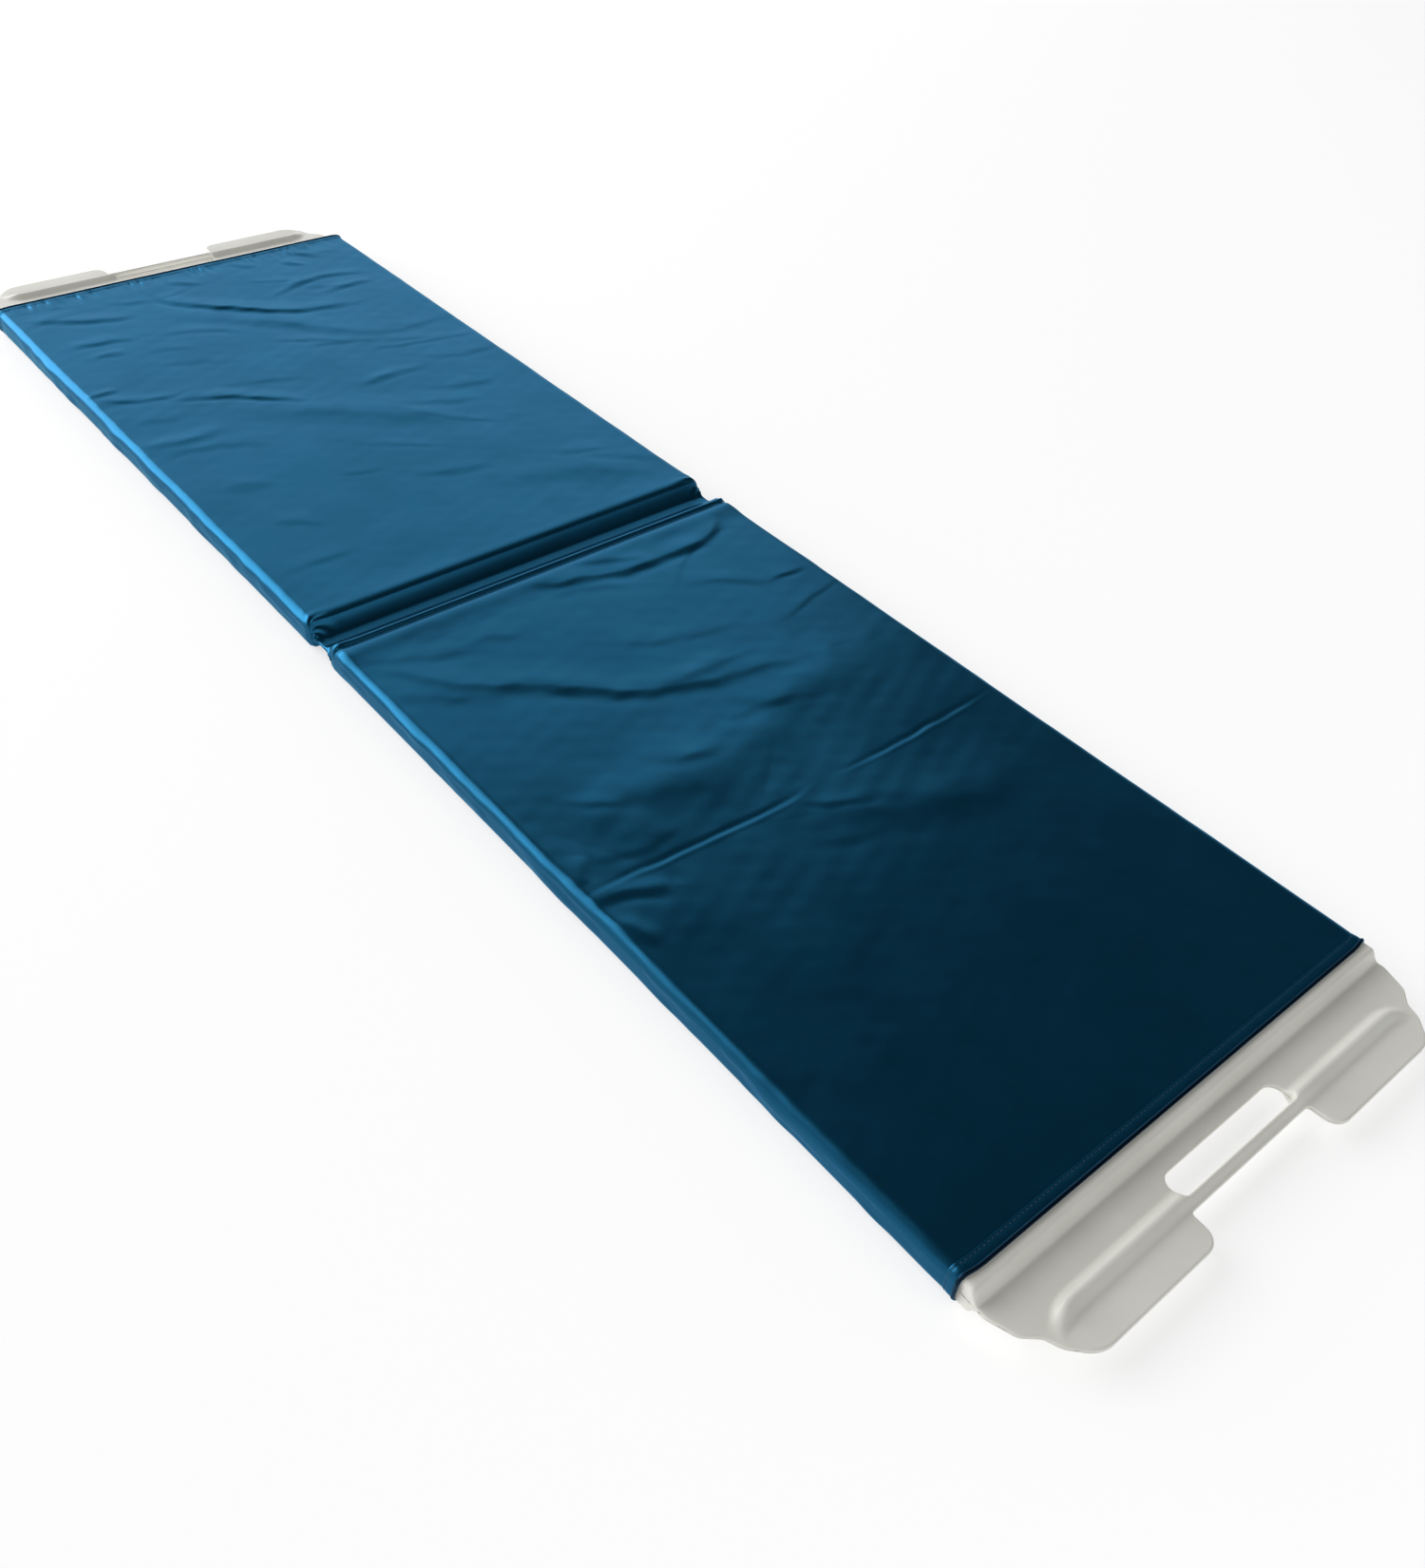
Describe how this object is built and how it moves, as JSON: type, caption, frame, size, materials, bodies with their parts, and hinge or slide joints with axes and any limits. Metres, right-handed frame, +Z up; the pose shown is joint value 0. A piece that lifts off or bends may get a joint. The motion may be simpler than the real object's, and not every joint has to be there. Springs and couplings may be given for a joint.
{
  "type": "folding patient transfer board",
  "caption": "Roll board in a smooth nylon sleeve for sliding a lying patient across, with a moulded grip at each end, that folds flat at the middle.",
  "frame": {"origin": "on the resting surface, under the middle of the fold", "axes": "+Y along the board towards the head end, +X across it, +Z up, out of the upper lying face"},
  "size_m": [0.5, 1.89, 0.031],
  "materials": {
    "panel_plastic": "cream polyethylene, fine satin grain",
    "foam": "closed-cell foam, cut faces",
    "bar_plastic": "sawn plastic bar",
    "rivet_metal": "bright rivet",
    "webbing": "black woven nylon webbing",
    "elastic": "covered rubber elastic",
    "sleeve_nylon": "blue coated nylon, satin sheen"
  },
  "bodies": {
    "foot_panel": {"foot_upper_shell": "panel_plastic", "foot_lower_shell": "panel_plastic", "foot_upper_grip": "panel_plastic", "foot_lower_grip": "panel_plastic", "foot_foam_core": "foam", "foot_end_bar_upper": "bar_plastic", "foot_end_bar_lower": "bar_plastic", "foot_rivets": "rivet_metal", "foot_web_flap": "webbing", "foot_sleeve": "sleeve_nylon", "foot_hem": "sleeve_nylon", "foot_hem_elastic": "elastic"},
    "fold_web": {"fold_web": "webbing", "fold_sleeve_upper": "sleeve_nylon", "fold_sleeve_lower": "sleeve_nylon", "fold_casing": "sleeve_nylon", "fold_elastic": "elastic"},
    "head_panel": {"head_upper_shell": "panel_plastic", "head_lower_shell": "panel_plastic", "head_upper_grip": "panel_plastic", "head_lower_grip": "panel_plastic", "head_foam_core": "foam", "head_end_bar_upper": "bar_plastic", "head_end_bar_lower": "bar_plastic", "head_rivets": "rivet_metal", "head_web_flap": "webbing", "head_sleeve": "sleeve_nylon", "head_hem": "sleeve_nylon", "head_hem_elastic": "elastic"}
  },
  "joints": [
    {"name": "foot_fold", "type": "hinge", "parent": "fold_web", "child": "foot_panel", "pos_m": [0, -0.018, 0.0155], "axis": [-1, 0, 0], "range_deg": [-90, 90]},
    {"name": "head_fold", "type": "hinge", "parent": "fold_web", "child": "head_panel", "pos_m": [0, 0.018, 0.0155], "axis": [1, 0, 0], "range_deg": [-90, 90]}
  ],
  "couplings": [
    {"joint": "head_fold", "follows": "foot_fold", "ratio": 1}
  ]
}
